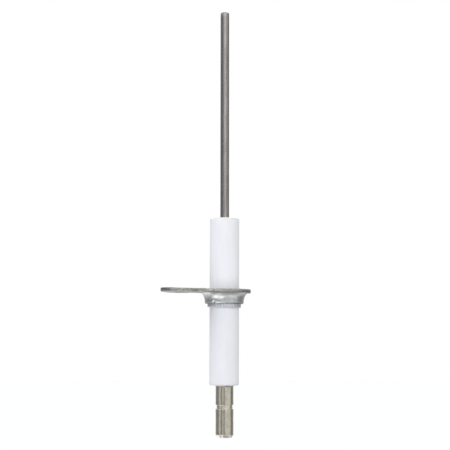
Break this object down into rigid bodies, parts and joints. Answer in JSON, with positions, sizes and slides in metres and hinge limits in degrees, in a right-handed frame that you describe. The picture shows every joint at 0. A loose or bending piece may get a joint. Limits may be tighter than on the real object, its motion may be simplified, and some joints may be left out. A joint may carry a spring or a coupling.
{
  "type": "flame sensor probe",
  "caption": "Slim metal rod standing out of a white ceramic tube, held by a steel bracket with a drawn collar and a screw ear, with a grooved round plug terminal at the foot, to sense a flame.",
  "frame": {"origin": "on the rod's axis, in the plane of the bracket's seating face, which lies against the burner door", "axes": "+Z along the rod's axis towards its free tip; the bracket's screw ear points along -X"},
  "size_m": [0.0312, 0.018, 0.146],
  "materials": {
    "rod_alloy": "drawn wire with a thin brownish oxide",
    "alumina": "unglazed matte",
    "sheet_steel": "stamped and drawn sheet, satin",
    "sleeve_steel": "rolled strip, satin",
    "terminal_nickel": "turned, nickel-plated",
    "hot_cement": "matte, pale yellow",
    "joint_cement": "matte, tan"
  },
  "bodies": {
    "root": {"sensing_rod": "rod_alloy", "insulator": "alumina", "mounting_bracket": "sheet_steel", "clamp_sleeve": "sleeve_steel", "terminal_pin": "terminal_nickel", "front_cement": "hot_cement", "rear_cement": "joint_cement"}
  },
  "joints": []
}
